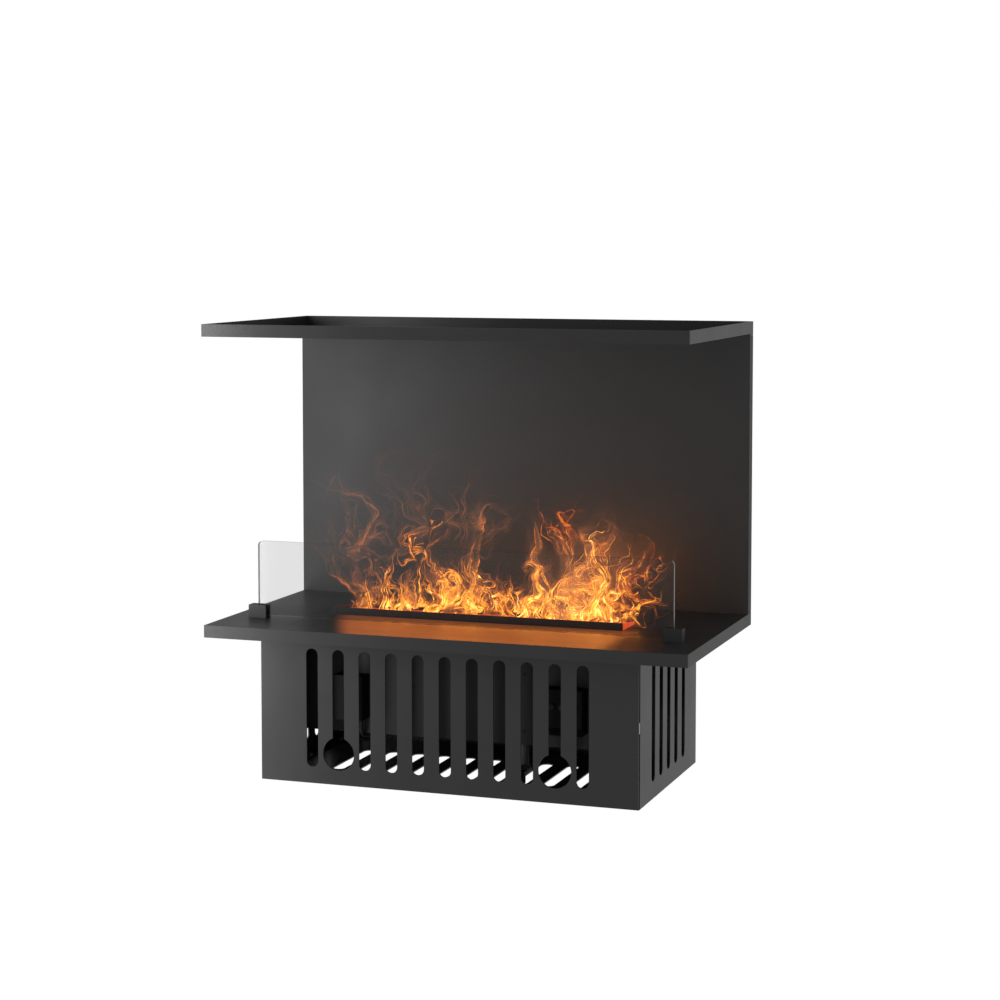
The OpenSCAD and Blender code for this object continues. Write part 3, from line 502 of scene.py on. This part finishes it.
def stream(rng, field, tongue, count, spread):
    """Points carried up by the flow from a short line above the slot: one row for each step."""
    half, start = tongue.half, tongue.start
    waves, swirls, shifts = field
    across = np.linspace(-0.5, 0.5, count)
    length = half * rng.uniform(0.4, 1.1) * spread
    turn = rng.uniform(-1.1, 1.1)
    tilt = rng.uniform(-0.9, 0.9) if start > DETACHED else 0.0
    start += rng.uniform(0.0, 0.014)
    points = np.stack([
        tongue.middle + rng.normal() * half * 0.5 + across * length * math.cos(turn),
        rng.uniform(-0.020, 0.020) + across * length * math.sin(turn) * 0.6
        + rng.uniform(-0.4, 0.4) * length * across ** 2,
        BASE + start + across * length * tilt], axis=1)
    rows = [points]
    step = tongue.reach * rng.uniform(0.75, 1.25) / RISE / STEPS
    for _ in range(STEPS - 1):
        for _ in range(2):
            push = np.sin(points @ waves.T + shifts) @ swirls * tongue.wild
            push[:, 1] = push[:, 1] * 0.6 - points[:, 1] * PULL_BACK
            push[:, 0] += tongue.lean
            push[:, 2] = RISE + push[:, 2] * 0.8
            points = points + push * step * 0.5
            points[:, 2] = np.maximum(points[:, 2], BASE)
            room = ROOM + 0.5 * (points[:, 2] - BASE)
            points[:, 1] = np.clip(points[:, 1], -room, room)
        rows.append(points)
    return np.array(rows)


def fading(tongue):
    """How bright a sheet or thread is from its root to its tip."""
    age = np.linspace(0, 1, STEPS)[:, None]
    fade = np.clip(age * 14, 0, 1) * (1 - age) ** 0.9
    if tongue.start > DETACHED:
        fade = fade * np.clip(age * 4, 0, 1)
    return fade * tongue.bright


def add_piece(name, points, faces, values, paint):
    """A mesh that rides on the fixed body, with the values as attributes of its points."""
    mesh = bpy.data.meshes.new(name)
    mesh.from_pydata(np.concatenate(points).tolist(), [], np.concatenate(faces).tolist())
    for key, numbers in values.items():
        numbers = np.concatenate(numbers).astype(np.float32)
        if numbers.ndim == 2:
            made = mesh.attributes.new(key, "FLOAT_VECTOR", "POINT")
            made.data.foreach_set("vector", numbers.ravel())
        else:
            mesh.attributes.new(key, "FLOAT", "POINT").data.foreach_set("value", numbers)
    mesh.polygons.foreach_set("use_smooth", [True] * len(mesh.polygons))
    mesh.update()
    mesh.materials.append(paint.material)
    piece = bpy.data.objects.new(name, mesh)
    bpy.context.scene.collection.objects.link(piece)
    piece.visible_shadow = False
    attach(piece, "root")


def grid_faces(rows, columns, first):
    """Faces of a grid of points that are numbered row by row from first."""
    index = first + np.arange(rows * columns).reshape(rows, columns)
    faces = [index[:-1, :-1], index[:-1, 1:], index[1:, 1:], index[1:, :-1]]
    return np.stack(faces, axis=-1).reshape(-1, 4)


def make_sheets(name, tongues, rng, field, paint):
    """Thin glowing sheets. Each point holds its warmth, crowding and redness, and its spot on the sheet
    in millimetres, which the streaks follow."""
    points, faces = [], []
    values = {"warmth": [], "crowding": [], "redness": [], "spot": []}
    edge = np.sin(np.linspace(0, math.pi, SHEET_WIDE))[None, :] ** 0.6
    for tongue in tongues:
        for _ in range(tongue.sheets):
            rows = stream(rng, field, tongue, SHEET_WIDE, 1.0)
            gap = np.linalg.norm(np.gradient(rows, axis=1), axis=2)
            rise = np.linalg.norm(np.gradient(rows, axis=0), axis=2)
            thin = (gap[:1] * rise.mean()) / (gap * rise + 1e-7)
            faces.append(grid_faces(STEPS, SHEET_WIDE, len(points) * STEPS * SHEET_WIDE))
            points.append(rows.reshape(-1, 3))
            values["warmth"].append((fading(tongue) * edge).ravel())
            values["crowding"].append(np.clip(thin, 0.1, 6.0).ravel())
            values["redness"].append(np.full(thin.size, tongue.red))
            spot = [np.broadcast_to(np.cumsum(gap[:1], axis=1) * 1000, gap.shape),
                    np.cumsum(rise, axis=0) * 1000, np.full(gap.shape, rng.uniform(0, 1000))]
            values["spot"].append(np.stack(spot, axis=-1).reshape(-1, 3))
    add_piece(name, points, faces, values, paint)


def make_threads(name, tongues, rng, field, paint):
    """Bundles of fine glowing threads that follow the flow."""
    points, faces = [], []
    values = {"warmth": [], "redness": []}
    for tongue in tongues:
        for _ in range(tongue.bundles):
            lines = stream(rng, field, tongue, BUNDLE_WIDE, 0.7)
            facing = rng.uniform(-0.9, 0.9)
            normal = np.array([math.sin(facing), -math.cos(facing), 0.0])
            for k in range(BUNDLE_WIDE):
                line = lines[:, k]
                side = np.cross(np.gradient(line, axis=0), normal)
                side /= np.linalg.norm(side, axis=1, keepdims=True) + 1e-9
                widest = 0.00055 if tongue.bright < 0.4 else 0.0010
                half = rng.uniform(0.0002, widest) * (1.2 - np.linspace(0, 1, STEPS)[:, None])
                strip = np.stack([line - side * half, line + side * half], axis=1)
                faces.append(grid_faces(STEPS, 2, len(points) * STEPS * 2))
                points.append(strip.reshape(-1, 3))
                glow = fading(tongue) * rng.uniform(0.2, 1.0) ** 1.5 * 1.3
                values["warmth"].append(np.repeat(glow, 2, axis=1).ravel())
                values["redness"].append(np.full(STEPS * 2, tongue.red))
    add_piece(name, points, faces, values, paint)


def flame_paint(name, threads):
    """Glowing gas. Sheets carry streaks that follow the flow, brighter where they crowd together."""
    paint = Paint(name)

    def attribute(key, output="Fac"):
        return paint.node("ShaderNodeAttribute", attribute_name=key).outputs[output]

    warmth = attribute("warmth")
    if threads:
        pulse = paint.spread(paint.noise(90.0, 2.0), 0.35, 0.65, 0.35, 1.15)
        light = paint.math("MULTIPLY", paint.math("MULTIPLY", warmth, pulse), 0.95)
    else:
        spot = attribute("spot", "Vector")
        streaks = paint.noise(1.0, 3.0, 0.6, where=spot, stretch=(0.60, 0.07, 1.0))
        streaks = paint.math("ABSOLUTE", paint.math("SUBTRACT", streaks, 0.5))
        streaks = paint.spread(streaks, 0.0, 0.12, 1.0, 0.0)
        veil = paint.noise(1.0, 3.0, 0.6, where=spot, stretch=(0.14, 0.09, 1.0))
        veil = paint.math("ADD", veil, paint.math("MULTIPLY", warmth, 0.16))
        rim = paint.math("ABSOLUTE", paint.math("SUBTRACT", veil, 0.54))
        rim = paint.spread(rim, 0.0, 0.030, 1.0, 0.0)
        veil = paint.spread(veil, 0.50, 0.60, smooth=True)
        body = paint.math("ADD", paint.math("MULTIPLY", paint.math("POWER", streaks, 2.2), 0.45),
                          paint.math("MULTIPLY", veil, 0.28))
        body = paint.math("ADD", body, paint.math("MULTIPLY", paint.math("POWER", rim, 1.6), 0.80))
        crowding = paint.math("POWER", attribute("crowding"), 1.1)
        light = paint.math("MULTIPLY", paint.math("MULTIPLY", warmth, crowding), body)
    dim = paint.node("ShaderNodeMix", data_type="RGBA")
    paint.link(attribute("redness"), dim.inputs["Factor"])
    dim.inputs["A"].default_value = (0.60, 0.22, 0.10, 1.0)
    dim.inputs["B"].default_value = (0.55, 0.075, 0.025, 1.0)
    bright = paint.ramp(paint.spread(light, 0.0, 1.2), [
        (0.0, (0.80, 0.13, 0.010)), (0.30, (1.0, 0.26, 0.020)),
        (0.65, (1.0, 0.42, 0.05)), (1.0, (1.0, 0.62, 0.20))])
    colour = paint.node("ShaderNodeMix", data_type="RGBA")
    paint.link(paint.spread(light, 0.05, 0.30, smooth=True), colour.inputs["Factor"])
    paint.link(dim.outputs["Result"], colour.inputs["A"])
    paint.link(bright, colour.inputs["B"])
    paint.link(colour.outputs["Result"], paint.shader.inputs["Emission Color"])
    paint.link(paint.spread(light, 0.1, 0.9, 1.0, 4.5), paint.shader.inputs["Emission Strength"])
    cover = paint.math("MINIMUM", paint.math("MULTIPLY", light, 0.9), 0.55)
    paint.link(cover, paint.shader.inputs["Alpha"])
    paint.shader.inputs["Base Color"].default_value = (0.0, 0.0, 0.0, 1.0)
    paint.shader.inputs["Specular IOR Level"].default_value = 0.0
    paint.material.cycles.emission_sampling = "NONE"
    return paint


def mist_paint():
    """The top of the mist in the slot, lit red from below and dimmer at the slot's left end."""
    paint = Paint("lit_mist")
    pools = paint.noise(30.0, 3.0, 0.6)
    paint.link(paint.ramp(pools, [(0.35, (0.55, 0.035, 0.012)), (0.65, (1.0, 0.15, 0.035))]),
               paint.shader.inputs["Emission Color"])
    x = paint.axes(paint.place)[0]
    glow = paint.spread(x, -SLOT_END + 0.003, -SLOT_END + 0.027, 0.05, 0.9, smooth=True)
    paint.link(glow, paint.shader.inputs["Emission Strength"])
    paint.shader.inputs["Base Color"].default_value = (0.1, 0.02, 0.01, 1.0)
    return paint


def make_mist():
    """A rippled layer of mist that fills the slot to just under its rear lip."""
    low, high = np.array(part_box("mouth_channel")[0]), np.array(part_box("mouth_channel")[1])
    columns, rows = 240, 24
    x = np.linspace(low[0] + 0.002, high[0] - 0.002, columns)
    y = np.linspace(low[1] + 0.0035, high[1] - 0.0035, rows)
    x, y = np.meshgrid(x, y)
    z = MIST_TOP + 0.0004 * np.sin(x * 310 + 4 * np.sin(y * 160)) + 0.0003 * np.sin(y * 420 + x * 90)
    points = np.stack([x, y, z], axis=-1).reshape(-1, 3)
    add_piece("mist_layer", [points], [grid_faces(rows, columns, 0)], {}, mist_paint())


def make_flames():
    field = turbulence(np.random.default_rng(11))
    sheet_paint = flame_paint("flame_sheet", False)
    thread_paint = flame_paint("flame_thread", True)
    third = len(TONGUES) // 3
    groups = {"left": TONGUES[:third], "middle": TONGUES[third:2 * third], "right": TONGUES[2 * third:]}
    for i, (side, part) in enumerate(groups.items()):
        make_sheets("flame_sheets_" + side, part, np.random.default_rng(20 + i), field, sheet_paint)
        make_threads("flame_threads_" + side, part, np.random.default_rng(40 + i), field, thread_paint)


make_camera()
make_studio()
paint_nodes()
make_mist()
make_flames()
